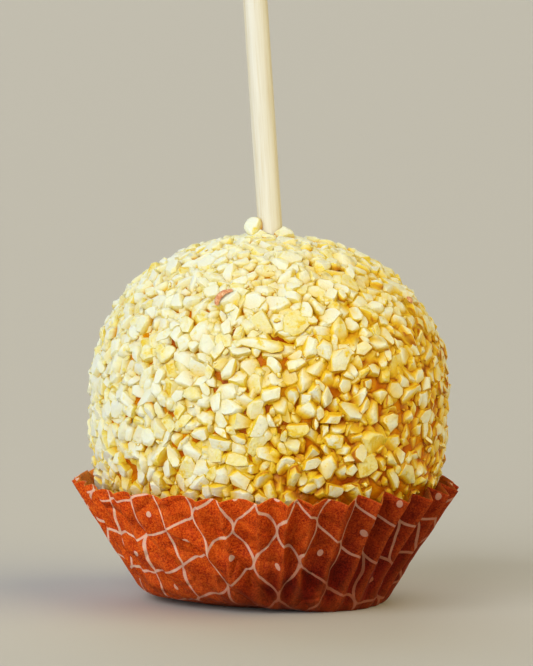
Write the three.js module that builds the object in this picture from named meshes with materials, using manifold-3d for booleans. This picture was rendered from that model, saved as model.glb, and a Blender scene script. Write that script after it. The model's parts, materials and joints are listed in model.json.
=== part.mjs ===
// A caramel apple rolled in chopped nuts, on a wooden stick, standing in its pleated paper case.
//
// Millimetres, +Z up. The origin is the middle of the case's foot, on the surface that it stands on,
// and the apple is seen from the front along +Y.
//
// Three solids: the pleated paper case, the apple with its caramel and its fused nut pieces, and the stick.

import * as THREE from "three";
import { ConvexGeometry } from "three/addons/geometries/ConvexGeometry.js";
import { mergeVertices } from "three/addons/utils/BufferGeometryUtils.js";
import Module from "manifold-3d";

const wasm = await Module();
wasm.setup();

// ---------------------------------------------------------------- driving dimensions

// The case is a flat round of greaseproof paper, pressed into a flared cup: a 57 mm foot and a 34.5 mm wall.
// The apple presses the middle of the foot flat on the table, and the paper springs up a little round it.
const CASE_FOOT_RADIUS = 28.5; // where the wall, drawn on straight, meets the table
const CASE_WALL_SLANT = 34.5; // from there to the rim
const CASE_FLARE = THREE.MathUtils.degToRad(33.4); // the wall's lean away from the vertical
const CASE_FLAT_RADIUS = 17.5;
const CASE_FOOT_RISE = THREE.MathUtils.degToRad(10); // slope of the foot outside its flat
const CASE_CORNER_RADIUS = 10;
const CASE_PAPER = 0.4;
const PLEAT_COUNT = 38;
const PLEAT_DEPTH_AT_RIM = 3.0; // ridge to valley, square to the wall
const PLEAT_UNEVENNESS = 0.28; // share by which one pleat is wider or narrower than the mean
const PLEAT_STEPS = 3; // facets round one pleat
const CORNER_STEPS = 3; // facets round the corner between the foot and the wall
const WALL_STEPS = 2; // facets up the wall

// The coated apple's outer form, over the tops of the nuts: two half super-ellipsoids that meet at the equator.
const APPLE_AXIS_X = 0.5;
const APPLE_EQUATOR_Z = 50;
const APPLE_EQUATOR_RADIUS = 44.3;
const APPLE_RISE = 39.8; // equator to crown
const APPLE_DROP = 53; // equator to where the lower half would close
const APPLE_CROWN_POWER = 2.2;
const APPLE_BASE_POWER = 2.3;
const APPLE_FOOT_GAP = 0.3; // between the case's floor and the flat foot of the caramel
const CRUST_DEPTH = 1.9; // nut tops to the caramel between them
const CORE_DETAIL = 5; // subdivisions of the core's icosahedron
const CORE_BUMP = 0.5; // relief of the finer nuts, which are bumps on the core

// Chopped nuts: the largest pieces, at true size.
const NUT_COUNT = 276;
const NUT_LENGTH = [4.4, 7.0];
const NUT_WIDTH_SHARE = [0.6, 0.88];
const NUT_THICKNESS_SHARE = [0.45, 0.6];
const NUT_APEX = 2.6; // height of the point that a piece's sides run towards, in thicknesses
const NUT_TOP_SLANT = 0.5;
const FIVE_SIDED_SHARE = 0.25;
const NUT_TILT = THREE.MathUtils.degToRad(17);
const NUT_RISE = [-0.6, 0.3]; // a nut's top against the outer form
const NUT_HIGHEST = 0.982; // height of the first nut's direction on a unit sphere, clear of the stick
const NUT_LOWEST_Z = 27.5; // the nuts further down are hidden in the case and are left to the bumps

// Caramel climbs a little round the foot of the stick, and a few nuts lean there.
const MOUND_RADIUS = 7.5;
const MOUND_HEIGHT = 2.0;
const COLLAR_COUNT = 7;
const COLLAR_RADIUS = 5.2;
const COLLAR_LENGTH = [4.6, 5.8];
const COLLAR_RISE = [0.1, 1.7]; // a nut's top against the crown
const COLLAR_TILT = THREE.MathUtils.degToRad(32);

// The stick: a 6 mm dowel, 140 mm long, pushed in by a little over a third.
const STICK_RADIUS = 3;
const STICK_LENGTH = 140;
const STICK_EXPOSED = 82;
const STICK_LEAN = THREE.MathUtils.degToRad(4.6); // towards -X
const STICK_END_CHAMFER = 0.5;
const STICK_SIDES = 24;
const STICK_HOLE_GAP = 0.3;

const GOLDEN_ANGLE = Math.PI * (3 - Math.sqrt(5));

// ---------------------------------------------------------------- helpers

// A seeded stream of numbers from 0 to 1, the same on every run.
function numberStream(seed) {
  let state = seed;
  return () => {
    state = (state * 1664525 + 1013904223) % 4294967296;
    return state / 4294967296;
  };
}

const between = ([low, high], share) => low + (high - low) * share;

function toSolid(geometry) {
  const bare = geometry.clone();
  bare.deleteAttribute("normal");
  bare.deleteAttribute("uv");
  const merged = mergeVertices(bare, 1e-4);
  return new wasm.Manifold(
    new wasm.Mesh({
      numProp: 3,
      vertProperties: new Float32Array(merged.attributes.position.array),
      triVerts: new Uint32Array(merged.index.array),
    }),
  );
}

// The hole for the stick can cut a scrap off a nut: the scrap is dropped.
function largestBody(solid) {
  return solid.decompose().reduce((best, body) => (body.volume() > best.volume() ? body : best));
}

function toGeometry(solid) {
  const mesh = solid.getMesh();
  const indexed = new THREE.BufferGeometry();
  indexed.setAttribute("position", new THREE.BufferAttribute(mesh.vertProperties, mesh.numProp));
  indexed.setIndex(new THREE.BufferAttribute(mesh.triVerts, 1));
  const faceted = indexed.toNonIndexed();
  faceted.computeVertexNormals();
  return faceted;
}

// LatheGeometry turns a profile about Y; this stands the result up along +Z.
function latheUpright(profile, segments) {
  return new THREE.LatheGeometry(profile, segments).rotateX(Math.PI / 2);
}

// ---------------------------------------------------------------- paper case

// Where each pleat's outward ridge stands, in turns, and how deep the pleat is: no two are quite alike.
function pleatPlan() {
  const draw = numberStream(4021);
  const widths = Array.from({ length: PLEAT_COUNT }, () => 1 + PLEAT_UNEVENNESS * (2 * draw() - 1));
  const total = widths.reduce((sum, width) => sum + width, 0);
  let start = 0;
  return widths.map((width) => {
    const pleat = { start: start / total, width: width / total, depth: 0.72 + 0.4 * draw() };
    start += width;
    return pleat;
  });
}

// The paper's outer face in section, from the middle of the foot to the rim. Each entry holds at, a point of radius
// and height, and slope, the paper's angle above the table there.
function outerFace() {
  const wallSlope = Math.PI / 2 - CASE_FLARE;
  const bend = wallSlope - CASE_FOOT_RISE; // the angle that the corner turns through
  const setback = CASE_CORNER_RADIUS * Math.tan(bend / 2);
  // The sloping foot and the wall, each drawn on straight, meet at the corner's tip.
  const tipHeight = (CASE_FOOT_RADIUS - CASE_FLAT_RADIUS) / (1 / Math.tan(CASE_FOOT_RISE) - Math.tan(CASE_FLARE));
  const cornerStart = new THREE.Vector2(CASE_FOOT_RADIUS + tipHeight * Math.tan(CASE_FLARE), tipHeight)
    .addScaledVector(alongSlope(CASE_FOOT_RISE), -setback);
  const centre = cornerStart.clone().addScaledVector(intoCase(CASE_FOOT_RISE), CASE_CORNER_RADIUS);
  const rim = new THREE.Vector2(CASE_FOOT_RADIUS, 0).addScaledVector(alongSlope(wallSlope), CASE_WALL_SLANT);
  const places = [
    { at: new THREE.Vector2(0, 0), slope: 0 },
    { at: new THREE.Vector2(CASE_FLAT_RADIUS, 0), slope: 0 },
  ];
  for (let step = 0; step <= CORNER_STEPS; step++) {
    const slope = CASE_FOOT_RISE + (bend * step) / CORNER_STEPS;
    places.push({ at: centre.clone().addScaledVector(intoCase(slope), -CASE_CORNER_RADIUS), slope });
  }
  const cornerEnd = places.at(-1).at;
  for (let step = 1; step <= WALL_STEPS; step++) {
    places.push({ at: cornerEnd.clone().lerp(rim, step / WALL_STEPS), slope: wallSlope });
  }
  return places;
}

const alongSlope = (slope) => new THREE.Vector2(Math.cos(slope), Math.sin(slope));
const intoCase = (slope) => new THREE.Vector2(-Math.sin(slope), Math.cos(slope));

// The closed section, out along the outer face and back along the inner one. Each entry holds at and fold, its share
// of the rim's pleat depth: the pleats take up the paper that the flat round has to spare over the cup's girth.
function caseSection() {
  const outer = outerFace();
  let along = 0;
  const folds = outer.map(({ at }, index) => {
    along += index ? at.distanceTo(outer[index - 1].at) : 0;
    return at.x && at.x * Math.sqrt(Math.max(along / at.x - 1, 0));
  });
  const face = (inset) =>
    outer.map(({ at, slope }, index) => ({
      at: at.clone().addScaledVector(intoCase(slope), inset),
      fold: folds[index] / folds.at(-1),
    }));
  return [...face(0), ...face(CASE_PAPER).reverse()];
}

function paperCase() {
  const section = caseSection();
  const pleats = pleatPlan();
  const segments = PLEAT_COUNT * PLEAT_STEPS;
  const geometry = latheUpright(
    section.map(({ at }) => at),
    segments,
  );
  const position = geometry.attributes.position;
  // The lathe lists its points section by section, one section for each segment and one more that closes the turn.
  for (let index = 0; index < position.count; index++) {
    const column = Math.floor(index / section.length) % segments;
    const { at, fold } = section[index % section.length];
    const pleat = pleats[Math.floor(column / PLEAT_STEPS)];
    const across = (column % PLEAT_STEPS) / PLEAT_STEPS;
    const angle = 2 * Math.PI * (pleat.start + pleat.width * across);
    const inset = PLEAT_DEPTH_AT_RIM * pleat.depth * fold * Math.sin(Math.PI * across);
    const radius = at.x - inset * Math.cos(CASE_FLARE);
    position.setXYZ(index, radius * Math.cos(angle), radius * Math.sin(angle), at.y + inset * Math.sin(CASE_FLARE));
  }
  const paper = new THREE.MeshStandardMaterial({ color: 0xb5551d, roughness: 0.7, metalness: 0 });
  const mesh = new THREE.Mesh(toGeometry(toSolid(geometry)), paper);
  mesh.name = "paper_case";
  return mesh;
}

// ---------------------------------------------------------------- coated apple

// How far the outer form lies from the apple's middle in a direction given as a unit vector.
function outerReach(direction) {
  const flat = Math.hypot(direction.x, direction.y);
  const upper = direction.z > 0;
  const power = upper ? APPLE_CROWN_POWER : APPLE_BASE_POWER;
  const height = upper ? APPLE_RISE : APPLE_DROP;
  const sum = (flat / APPLE_EQUATOR_RADIUS) ** power + (Math.abs(direction.z) / height) ** power;
  return sum ** (-1 / power);
}

const appleMiddle = new THREE.Vector3(APPLE_AXIS_X, 0, APPLE_EQUATOR_Z);
const footZ = CASE_PAPER + APPLE_FOOT_GAP;

// The apple under its caramel: the outer form less the crust, with low bumps for the finer nuts and a flat foot.
function caramelCore() {
  const geometry = mergeVertices(bareIcosahedron(CORE_DETAIL), 1e-4);
  const position = geometry.attributes.position;
  const draw = numberStream(77);
  const point = new THREE.Vector3();
  for (let index = 0; index < position.count; index++) {
    const direction = point.fromBufferAttribute(position, index).normalize();
    const reach = outerReach(direction) - CRUST_DEPTH + CORE_BUMP * (2 * draw() - 1);
    point.multiplyScalar(reach).add(appleMiddle);
    point.z = Math.max(point.z, footZ);
    position.setXYZ(index, point.x, point.y, point.z);
  }
  return toSolid(geometry);
}

// The low mound of caramel round the stick.
function caramelMound() {
  const mound = bareIcosahedron(1).scale(MOUND_RADIUS, MOUND_RADIUS, MOUND_HEIGHT);
  return toSolid(mound.translate(APPLE_AXIS_X, 0, APPLE_EQUATOR_Z + APPLE_RISE - CRUST_DEPTH));
}

function bareIcosahedron(detail) {
  const geometry = new THREE.IcosahedronGeometry(1, detail);
  geometry.deleteAttribute("normal");
  geometry.deleteAttribute("uv");
  return geometry;
}

// The frame of a nut whose top reaches the given point: its middle, and the axes of its length, width and thickness.
function nutFrame(top, outward, thickness, spin, tilt, tiltTowards) {
  const east = new THREE.Vector3(0, 0, 1).cross(outward).normalize();
  const turn = new THREE.Quaternion()
    .setFromAxisAngle(east.clone().applyAxisAngle(outward, tiltTowards), tilt)
    .multiply(new THREE.Quaternion().setFromAxisAngle(outward, spin));
  const length = east.applyQuaternion(turn);
  const up = outward.clone().applyQuaternion(turn);
  const width = up.clone().cross(length);
  const middle = top.clone().addScaledVector(outward, -thickness / 2);
  return new THREE.Matrix4().makeBasis(length, width, up).setPosition(middle);
}

// One chopped piece: an uneven pyramid of four or five sides, which the knife cut off flat and aslant.
function nutPiece(draw, frame, length, width, thickness) {
  const sides = draw() < FIVE_SIDED_SHARE ? 5 : 4;
  const slant = new THREE.Vector2(draw() - 0.5, draw() - 0.5).multiplyScalar(NUT_TOP_SLANT);
  const apex = new THREE.Vector3((draw() - 0.5) * length, (draw() - 0.5) * width, NUT_APEX * thickness);
  const points = [];
  for (let side = 0; side < sides; side++) {
    const angle = (2 * Math.PI * (side + 0.6 * draw())) / sides;
    const share = 0.5 + 0.12 * draw();
    const foot = new THREE.Vector3(share * Math.cos(angle) * length, share * Math.sin(angle) * width, -thickness / 2);
    const topHeight = thickness * (0.5 + slant.x * Math.cos(angle) + slant.y * Math.sin(angle));
    const top = foot.clone().lerp(apex, (topHeight - foot.z) / (apex.z - foot.z));
    points.push(foot.applyMatrix4(frame), top.applyMatrix4(frame));
  }
  return toSolid(new ConvexGeometry(points));
}

// The largest nuts, spread evenly by a spiral of golden angles, from the crown down to where the case hides them.
function nutPlaces() {
  const draw = numberStream(1209);
  const lowest = (NUT_LOWEST_Z - APPLE_EQUATOR_Z) / APPLE_EQUATOR_RADIUS;
  return Array.from({ length: NUT_COUNT }, (_, index) => {
    const z = NUT_HIGHEST - ((index + 0.5) / NUT_COUNT) * (NUT_HIGHEST - lowest);
    const angle = index * GOLDEN_ANGLE + (draw() - 0.5) * 0.1;
    const flat = Math.sqrt(1 - z * z);
    const outward = new THREE.Vector3(flat * Math.cos(angle), flat * Math.sin(angle), z);
    const length = between(NUT_LENGTH, draw());
    const width = length * between(NUT_WIDTH_SHARE, draw());
    const thickness = length * between(NUT_THICKNESS_SHARE, draw());
    const top = outward.clone().multiplyScalar(outerReach(outward) + between(NUT_RISE, draw())).add(appleMiddle);
    const frame = nutFrame(top, outward, thickness, 2 * Math.PI * draw(), NUT_TILT * draw(), 2 * Math.PI * draw());
    return { frame, length, width, thickness };
  });
}

// The nuts of the collar stand round the stick, each tilted up against it.
function collarPlaces() {
  const draw = numberStream(31);
  return Array.from({ length: COLLAR_COUNT }, (_, index) => {
    const angle = (2 * Math.PI * (index + 0.4 * draw())) / COLLAR_COUNT;
    const length = between(COLLAR_LENGTH, draw());
    const width = length * between(NUT_WIDTH_SHARE, draw());
    const thickness = length * between(NUT_THICKNESS_SHARE, draw());
    const outward = new THREE.Vector3(0, 0, 1);
    const top = new THREE.Vector3(COLLAR_RADIUS * Math.cos(angle), COLLAR_RADIUS * Math.sin(angle), 0)
      .add(appleMiddle)
      .setZ(APPLE_EQUATOR_Z + APPLE_RISE + between(COLLAR_RISE, draw()));
    const leanAxis = new THREE.Vector3(-Math.sin(angle), Math.cos(angle), 0);
    const lean = new THREE.Quaternion().setFromAxisAngle(leanAxis, COLLAR_TILT * (0.4 + 0.6 * draw()));
    const across = new THREE.Vector3(Math.cos(angle), Math.sin(angle), 0).applyQuaternion(lean);
    const up = outward.applyQuaternion(lean);
    const along = across.clone().cross(up).negate();
    const middle = top.addScaledVector(up, -thickness / 2);
    const frame = new THREE.Matrix4().makeBasis(along, up.clone().cross(along), up).setPosition(middle);
    return { frame, length, width, thickness };
  });
}

function coatedApple(stickPlace) {
  const draw = numberStream(555);
  let solid = caramelCore().add(caramelMound());
  for (const { frame, length, width, thickness } of [...nutPlaces(), ...collarPlaces()]) {
    solid = solid.add(nutPiece(draw, frame, length, width, thickness));
  }
  const hole = new THREE.CylinderGeometry(
    STICK_RADIUS + STICK_HOLE_GAP,
    STICK_RADIUS + STICK_HOLE_GAP,
    STICK_LENGTH + 2 * STICK_HOLE_GAP,
    STICK_SIDES,
  )
    .rotateX(Math.PI / 2)
    .translate(0, 0, STICK_LENGTH / 2)
    .applyMatrix4(stickPlace);
  solid = largestBody(solid.subtract(toSolid(hole)));
  const nutty = new THREE.MeshStandardMaterial({ color: 0xe6cf7e, roughness: 0.6, metalness: 0 });
  const mesh = new THREE.Mesh(toGeometry(solid), nutty);
  mesh.name = "coated_apple";
  return mesh;
}

// ---------------------------------------------------------------- stick

// The stick's own frame stands at its lower end, on the apple's axis at the crown less the buried length.
function stickPlacement() {
  const crown = new THREE.Vector3(APPLE_AXIS_X, 0, APPLE_EQUATOR_Z + APPLE_RISE - CRUST_DEPTH);
  const lean = new THREE.Matrix4().makeRotationY(-STICK_LEAN);
  const buried = new THREE.Vector3(0, 0, -(STICK_LENGTH - STICK_EXPOSED)).applyMatrix4(lean);
  return lean.setPosition(crown.add(buried));
}

function woodenStick(stickPlace) {
  const profile = [
    new THREE.Vector2(0, 0),
    new THREE.Vector2(STICK_RADIUS - STICK_END_CHAMFER, 0),
    new THREE.Vector2(STICK_RADIUS, STICK_END_CHAMFER),
    new THREE.Vector2(STICK_RADIUS, STICK_LENGTH - STICK_END_CHAMFER),
    new THREE.Vector2(STICK_RADIUS - STICK_END_CHAMFER, STICK_LENGTH),
    new THREE.Vector2(0, STICK_LENGTH),
  ];
  const wood = new THREE.MeshStandardMaterial({ color: 0xe3d5a8, roughness: 0.65, metalness: 0 });
  const mesh = new THREE.Mesh(toGeometry(toSolid(latheUpright(profile, STICK_SIDES))), wood);
  mesh.applyMatrix4(stickPlace);
  mesh.name = "wooden_stick";
  return mesh;
}

// ---------------------------------------------------------------- the whole

const stickPlace = stickPlacement();
const caramelApple = new THREE.Group();
caramelApple.add(paperCase(), coatedApple(stickPlace), woodenStick(stickPlace));

export default caramelApple;
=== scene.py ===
"""A caramel apple rolled in chopped nuts, on a wooden stick, standing in its pleated paper case.

Metres, +Z up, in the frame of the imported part: the origin is the middle of the case's foot.
"""

import json
import math
import random

import bmesh
import bpy
import numpy as np
from mathutils import Matrix, Vector, noise
from mathutils.bvhtree import BVHTree

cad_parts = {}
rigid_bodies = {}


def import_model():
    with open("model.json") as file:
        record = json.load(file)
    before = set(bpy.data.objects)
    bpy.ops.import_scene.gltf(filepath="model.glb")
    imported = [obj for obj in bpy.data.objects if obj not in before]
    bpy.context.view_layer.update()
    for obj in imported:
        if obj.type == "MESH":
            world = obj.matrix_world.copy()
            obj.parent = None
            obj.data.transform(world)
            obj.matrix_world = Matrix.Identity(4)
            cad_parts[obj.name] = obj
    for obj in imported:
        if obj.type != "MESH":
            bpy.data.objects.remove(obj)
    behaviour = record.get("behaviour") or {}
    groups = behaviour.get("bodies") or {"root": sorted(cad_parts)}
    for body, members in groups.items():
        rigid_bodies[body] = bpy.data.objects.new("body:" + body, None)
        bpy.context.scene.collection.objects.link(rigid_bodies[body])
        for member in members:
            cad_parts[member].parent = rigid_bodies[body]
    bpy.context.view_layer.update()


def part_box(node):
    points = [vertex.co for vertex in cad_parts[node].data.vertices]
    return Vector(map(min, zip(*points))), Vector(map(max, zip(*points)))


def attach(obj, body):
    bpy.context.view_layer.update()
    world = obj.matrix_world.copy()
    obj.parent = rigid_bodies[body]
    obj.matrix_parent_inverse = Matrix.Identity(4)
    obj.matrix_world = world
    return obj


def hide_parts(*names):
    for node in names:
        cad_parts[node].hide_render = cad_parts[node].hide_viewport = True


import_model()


# ---------------------------------------------------------------- paper case
# A round of greaseproof paper, printed on one side with fine pale lines and pressed hot into a flared cup:
# a flat foot, a soft corner and a pleated wall. It is modelled as that one sheet, from the middle of its
# foot to the rim, and thickened last. Its UV map is the flat round, so the print bends with the pleats.

MM = 0.001
FOOT_RADIUS = 28.5 * MM  # where the wall, drawn on straight, meets the table
WALL_SLANT = 34.5 * MM
WALL_FLARE = math.radians(33.4)
FLAT_RADIUS = 17.5 * MM
FOOT_RISE = math.radians(10)
CORNER_RADIUS = 8 * MM
PAPER_THICKNESS = 0.13 * MM
FLAT_ROWS = 5
RISE_ROWS = 4
CORNER_ROWS = 9
WALL_ROWS = 40

PLEAT_SEED = 4021
SWAY_SEED = 12
PLEAT_COUNT = 38
PLEAT_COLUMNS = 18
PLEAT_DEPTH = 3.0 * MM
PLEAT_DEPTH_SHARE = (0.72, 1.12)
PLEAT_UNEVENNESS = 0.28
PLEAT_SWAY = 0.3  # how far a ridge wanders sideways on its way up, in pleat widths
PLEAT_SWELL = (0.7, 1.15)  # below 1 a pleat is full, and above 1 it is pinched

# What has happened to it since, each on the side of the foot that the angle gives.
SMOOTHED_AT, SMOOTHED_SHARE = math.radians(-128), 0.5  # handling took depth from the pleats
CRISP_AT, CRISP_SHARE = math.radians(-25), 0.6  # the pleats kept more than their mean depth
KINKED_AT, KINK_DEPTH = math.radians(-108), 6.0 * MM
RIM_DROOPS_AT, RIM_DROOP = math.radians(-48), 1.1 * MM
FOOT_LIFTED_AT, FOOT_LIFT = math.radians(-115), 2.3 * MM  # the foot's edge has sprung up
FOOT_SAGS_AT, FOOT_SAG = math.radians(-38), 1.9 * MM
FOOT_PRESSED = 1.7 * MM  # how far the apple's weight presses the foot's edge down all round
KINKED_ELSEWHERE = 0.06  # share of the kinks' depth on the other sides
CREASE_DEPTH = 0.4 * MM
DENT_DEPTH = 0.5 * MM
CRUMPLE_DEPTH = 0.08 * MM


def number_stream(seed):
    """The same stream of numbers from 0 to 1 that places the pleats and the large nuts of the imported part."""
    state = seed
    while True:
        state = (state * 1664525 + 1013904223) % 4294967296
        yield state / 4294967296


def between(span, share):
    return span[0] + (span[1] - span[0]) * share


def pleat_plan():
    """For each pleat: where its outward ridge stands and how wide it is, in turns, and how deep it is."""
    draw = number_stream(PLEAT_SEED)
    widths = [1 + PLEAT_UNEVENNESS * (2 * next(draw) - 1) for _ in range(PLEAT_COUNT)]
    pleats = []
    start = 0
    for width in widths:
        pleats.append((start / sum(widths), width / sum(widths), between(PLEAT_DEPTH_SHARE, next(draw))))
        start += width
    return pleats


def along_slope(slope):
    return Vector((math.cos(slope), math.sin(slope)))


def into_case(slope):
    return Vector((-math.sin(slope), math.cos(slope)))


def outer_face():
    """The sheet in section, from near the middle of the foot to the rim, as points of radius and height."""
    wall_slope = math.pi / 2 - WALL_FLARE
    bend = wall_slope - FOOT_RISE
    setback = CORNER_RADIUS * math.tan(bend / 2)
    tip_height = (FOOT_RADIUS - FLAT_RADIUS) / (1 / math.tan(FOOT_RISE) - math.tan(WALL_FLARE))
    tip = Vector((FOOT_RADIUS + tip_height * math.tan(WALL_FLARE), tip_height))
    corner_start = tip - along_slope(FOOT_RISE) * setback
    centre = corner_start + into_case(FOOT_RISE) * CORNER_RADIUS
    rim = Vector((FOOT_RADIUS, 0)) + along_slope(wall_slope) * WALL_SLANT
    flat_end = Vector((FLAT_RADIUS, 0))
    points = [flat_end * row / FLAT_ROWS for row in range(1, FLAT_ROWS + 1)]
    points += [flat_end.lerp(corner_start, row / RISE_ROWS) for row in range(1, RISE_ROWS + 1)]
    for row in range(1, CORNER_ROWS + 1):
        points.append(centre - into_case(FOOT_RISE + bend * row / CORNER_ROWS) * CORNER_RADIUS)
    corner_end = points[-1]
    points += [corner_end.lerp(rim, row / WALL_ROWS) for row in range(1, WALL_ROWS + 1)]
    return points


def folded_rows():
    """Each row's point, its distance along the paper, and its share of the rim's pleat depth.

    The pleats take up the paper that the flat round has to spare over the cup's girth.
    """
    rows = []
    along, last = 0, Vector((0, 0))
    for point in outer_face():
        along += (point - last).length
        last = point
        rows.append((point, along, point.x * math.sqrt(max(along / point.x - 1, 0))))
    deepest = rows[-1][2]
    return [(point, along, fold / deepest) for point, along, fold in rows]


def facing_share(angle, towards):
    """1 where the angle points that way, falling to 0 a quarter turn to either side."""
    return max(0, math.cos(angle - towards)) ** 2


def round_about(angle, height=0):
    """The direction straight out from the axis at that angle, and its climb."""
    return Vector((math.cos(angle), math.sin(angle), height))


def paper_point(at, along, climb, angle, inset):
    """One point of the sheet, folded in by its inset, creased and kinked, and then pushed out of true."""
    out = round_about(angle) * math.cos(WALL_FLARE) - Vector((0, 0, math.sin(WALL_FLARE)))
    point = round_about(angle) * at.x + Vector((0, 0, at.y)) - out * inset
    # Creases run up the wall, fingers have dented it, and the paper has a fine crumple of its own.
    crease = noise.noise(Vector((math.cos(angle) * 24, math.sin(angle) * 24, along * 45)))
    dent = noise.noise(point * 95 + Vector((3, 1, 7)))
    crumple = noise.noise(point * 450) + 0.5 * noise.noise(point * 950)
    relief = CREASE_DEPTH * crease + DENT_DEPTH * dent + CRUMPLE_DEPTH * crumple
    # Sharp kinks cross the side that was handled, most of all low on the wall.
    kink = abs(noise.noise(Vector((angle * 4.2 + along * 95, along * 62, 5)))) - 0.2
    kinked = KINKED_ELSEWHERE + facing_share(angle, KINKED_AT) ** 2
    kinked *= KINK_DEPTH * math.sin(math.pi * climb**0.7)
    point += out * (min(1, climb * 3) * relief + kinked * kink)
    off_table = min(1, max(0, at.x - FLAT_RADIUS) / (FOOT_RADIUS - FLAT_RADIUS)) * (1 - climb)
    sprung = max(0, math.cos(angle - FOOT_LIFTED_AT)) ** 1.5
    point.z -= RIM_DROOP * climb**2 * facing_share(angle, RIM_DROOPS_AT)
    point.z += off_table * (FOOT_LIFT * sprung - FOOT_PRESSED)
    point.z -= FOOT_SAG * off_table * (1 - climb) ** 2 * facing_share(angle, FOOT_SAGS_AT)
    point.z = max(point.z, 0)
    return point


def grid_faces(rows, columns, first=0, closed=True):
    """The faces between points laid in rows, where each row is a closed ring or an open line."""
    faces = []
    for row in range(rows - 1):
        low = first + row * columns
        for column in range(columns if closed else columns - 1):
            beside = (column + 1) % columns
            faces.append((low + column, low + beside, low + columns + beside, low + columns + column))
    return faces


def smooth_mesh(name, points, faces):
    """A mesh shaded smooth, but for flat ends of more than four corners."""
    mesh = bpy.data.meshes.new(name)
    mesh.from_pydata(points, [], faces)
    mesh.polygons.foreach_set("use_smooth", [len(face) <= 4 for face in faces])
    return mesh


def store(mesh, name, values, kind="FLOAT"):
    """Gives each point of the mesh its value under that name, for materials and node trees."""
    field = mesh.attributes.new(name, kind, "POINT")
    field.data.foreach_set("vector" if kind == "FLOAT_VECTOR" else "value", np.ravel(values).tolist())


def paper_sheet():
    """The pleated sheet, and how wide the round is when it lies flat."""
    draw = random.Random(SWAY_SEED)
    rows = folded_rows()
    reach = rows[-1][1]
    rim_height = rows[-1][0].y
    pleats = [(*pleat, draw.uniform(-1, 1), draw.uniform(*PLEAT_SWELL)) for pleat in pleat_plan()]
    points = [Vector((0, 0, 0))]
    flat_points = [(0.5, 0.5)]
    valleys = [0]
    for at, along, fold in rows:
        climb = at.y / rim_height
        for start, width, depth, sway, swell in pleats:
            for step in range(PLEAT_COLUMNS):
                across = step / PLEAT_COLUMNS
                lean = PLEAT_SWAY * sway * math.sin(math.pi * across) * climb * (1 - climb)
                angle = math.tau * (start + width * (across + lean))
                crisp = facing_share(angle, CRISP_AT)
                handled = 1 - SMOOTHED_SHARE * facing_share(angle, SMOOTHED_AT) + CRISP_SHARE * crisp
                wave = math.sin(math.pi * across) ** swell
                wave += crisp * (1 - abs(2 * across - 1) - wave)
                inset = PLEAT_DEPTH * depth * fold * handled * wave
                points.append(paper_point(at, along, climb, angle, inset))
                valleys.append(wave * min(1, handled) * fold)
                flat_angle = math.tau * (start + width * across)
                share = 0.5 * along / reach
                flat_points.append((0.5 + share * math.cos(flat_angle), 0.5 + share * math.sin(flat_angle)))
    columns = PLEAT_COUNT * PLEAT_COLUMNS
    faces = [(0, 1 + (column + 1) % columns, 1 + column) for column in range(columns)]
    sheet = smooth_mesh("paper_cup", points, faces + grid_faces(len(rows), columns, 1))
    flat = sheet.uv_layers.new(name="flat_round")
    for loop in sheet.loops:
        flat.data[loop.index].uv = flat_points[loop.vertex_index]
    store(sheet, "valley", valleys)
    return sheet, 2 * reach


def set_out(name, data):
    """Puts a mesh, lamp or camera into the scene, as an object of that name."""
    piece = bpy.data.objects.new(name, data)
    bpy.context.scene.collection.objects.link(piece)
    return piece


def node_adder(tree):
    """A function that adds a node to the tree, with its inputs, as values or links, and its settings."""

    def add(kind, inputs=(), **settings):
        node = tree.nodes.new(kind)
        for key, value in settings.items():
            setattr(node, key, value)
        for socket, value in dict(inputs).items():
            if isinstance(value, bpy.types.NodeSocket):
                tree.links.new(value, node.inputs[socket])
            else:
                node.inputs[socket].default_value = value
        return node

    return add


def new_material(name, roughness, specular=0.5, glow=()):
    """A material, its shader, and two functions that add a node and a Math node to it.

    Glow is the share of light that passes under the surface, how far each colour goes, and their scale.
    """
    material = bpy.data.materials.new(name)
    material.use_nodes = True
    shader = material.node_tree.nodes["Principled BSDF"]
    shader.inputs["Roughness"].default_value = roughness
    shader.inputs["Specular IOR Level"].default_value = specular
    for socket, value in zip(("Weight", "Radius", "Scale"), glow):
        shader.inputs[f"Subsurface {socket}"].default_value = value
    add = node_adder(material.node_tree)

    def calc(operation, *values):
        return add("ShaderNodeMath", dict(enumerate(values)), operation=operation).outputs[0]

    return material, shader, add, calc


def join_surface(shader, add, colour, height, strength, distance, under=()):
    """Gives the shader its colour, and bumps of that height, on top of any coarser ones under them."""
    bumps = {"Height": height, "Strength": strength, "Distance": distance, **dict(under)}
    shader.id_data.links.new(colour, shader.inputs["Base Color"])
    shader.id_data.links.new(add("ShaderNodeBump", bumps).outputs["Normal"], shader.inputs["Normal"])


def blend_colours(add, share, first, second):
    """Mixes two colours, each a node's output or three numbers."""
    pair = [(*colour, 1) if isinstance(colour, tuple) else colour for colour in (first, second)]
    return add("ShaderNodeMix", {"Factor": share, 6: pair[0], 7: pair[1]}, data_type="RGBA").outputs[2]


def colour_ramp(add, value, stops):
    ramp = add("ShaderNodeValToRGB", {"Fac": value})
    points = ramp.color_ramp.elements
    while len(points) < len(stops):
        points.new(0.5)
    for point, (place, colour) in zip(points, stops):
        point.position = place
        point.color = (*colour, 1)
    return ramp.outputs["Color"]


def noise_field(add, place, scale, detail, roughness=0.5, distortion=0.0):
    inputs = {"Vector": place, "Scale": scale, "Detail": detail, "Roughness": roughness}
    return add("ShaderNodeTexNoise", {**inputs, "Distortion": distortion}).outputs["Fac"]


def fade(add, value, first, last, least=0.0, most=1.0, kind="LINEAR"):
    """Goes from least where the value is first to most where it is last, and stays level beyond them."""
    span = {"Value": value, "From Min": first, "From Max": last, "To Min": least, "To Max": most}
    return add("ShaderNodeMapRange", span, interpolation_type=kind).outputs["Result"]


def smooth_step(add, value, first, last, most=1.0):
    return fade(add, value, first, last, 0.0, most, "SMOOTHSTEP")


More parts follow.
